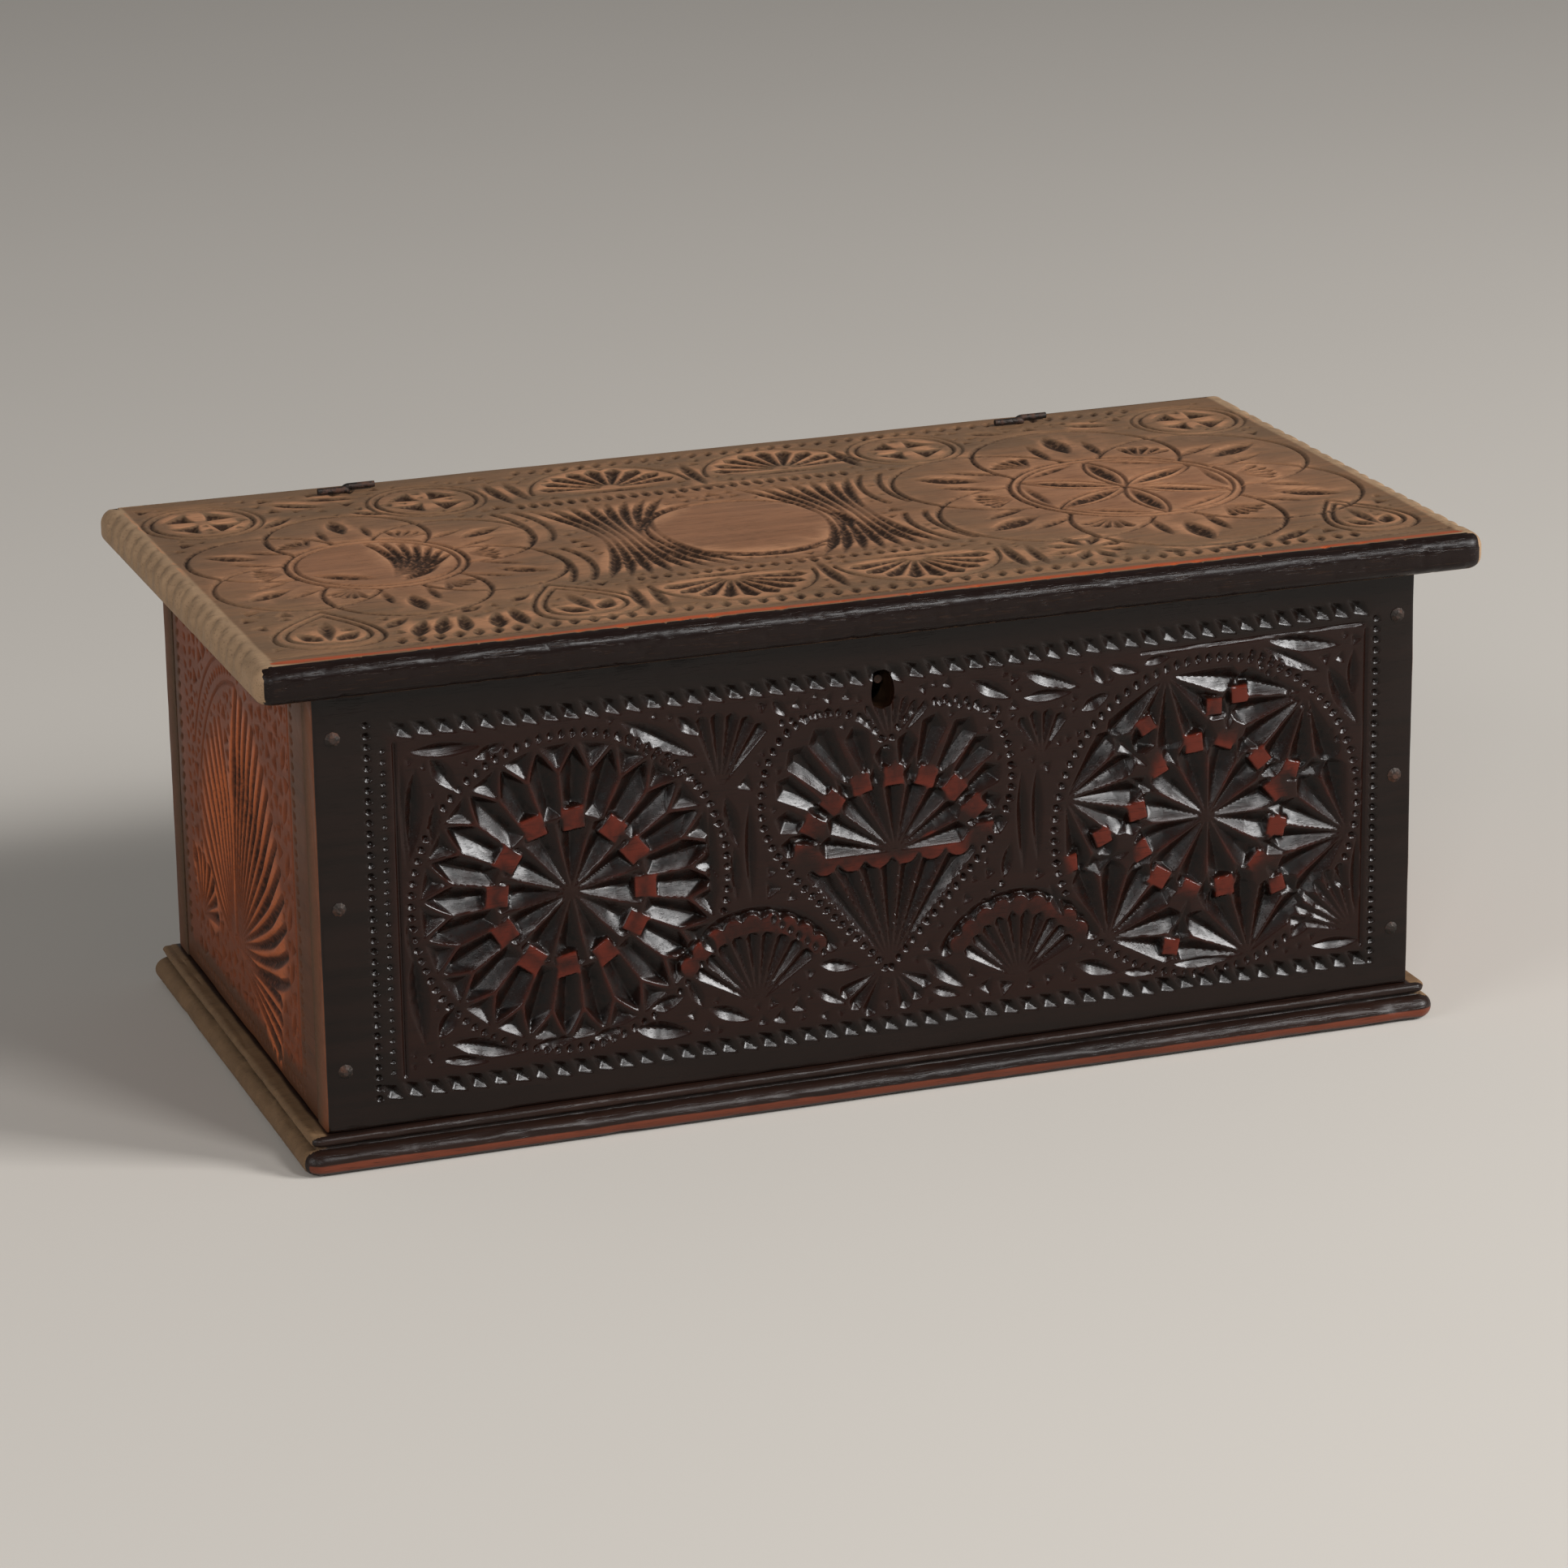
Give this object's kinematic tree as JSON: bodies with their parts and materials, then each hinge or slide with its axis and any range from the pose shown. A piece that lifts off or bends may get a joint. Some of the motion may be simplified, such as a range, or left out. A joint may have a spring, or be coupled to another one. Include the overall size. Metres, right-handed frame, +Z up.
{
  "type": "boarded box",
  "caption": "Low rectangular nailed wooden box with chip-carved front, ends and overhanging lid, moulded base, wire hinges and an inside lock, for papers and keepsakes.",
  "frame": {"origin": "middle of the bottom board's underside", "axes": "+X to the right seen from the front, +Y to the back, +Z up"},
  "size_m": [0.462, 0.2414, 0.1919],
  "materials": {
    "front_wood": "dark waxed oak, glossy",
    "end_wood": "worn waxed oak",
    "plain_wood": "old oak, satin",
    "lid_wood": "faded oak, dry wax",
    "iron": "dark wrought iron"
  },
  "bodies": {
    "case": {"front_board": "front_wood", "left_end_board": "end_wood", "right_end_board": "end_wood", "back_board": "plain_wood", "bottom_board": "plain_wood", "front_corner_nails": "iron", "back_corner_nails": "iron", "bottom_nails": "iron", "left_case_snipe": "iron", "right_case_snipe": "iron", "lock_plate": "iron", "lock_nails": "iron", "lock_cap": "iron", "cap_rivets": "iron", "key_pin": "iron", "bolt_guides": "iron", "bolt_spring": "iron"},
    "lid": {"lid_board": "lid_wood", "left_lid_snipe": "iron", "right_lid_snipe": "iron", "lid_staple": "iron", "staple_nails": "iron"},
    "bolt": {"lock_bolt": "iron"}
  },
  "joints": [
    {"name": "lid_hinge", "type": "hinge", "parent": "case", "child": "lid", "pos_m": [0, 0.11739, 0.176], "axis": [-1, 0, 0], "range_deg": [0, 110]},
    {"name": "bolt_slide", "type": "slide", "parent": "case", "child": "bolt", "axis": [1, 0, 0], "range_m": [0, 0.009]}
  ]
}
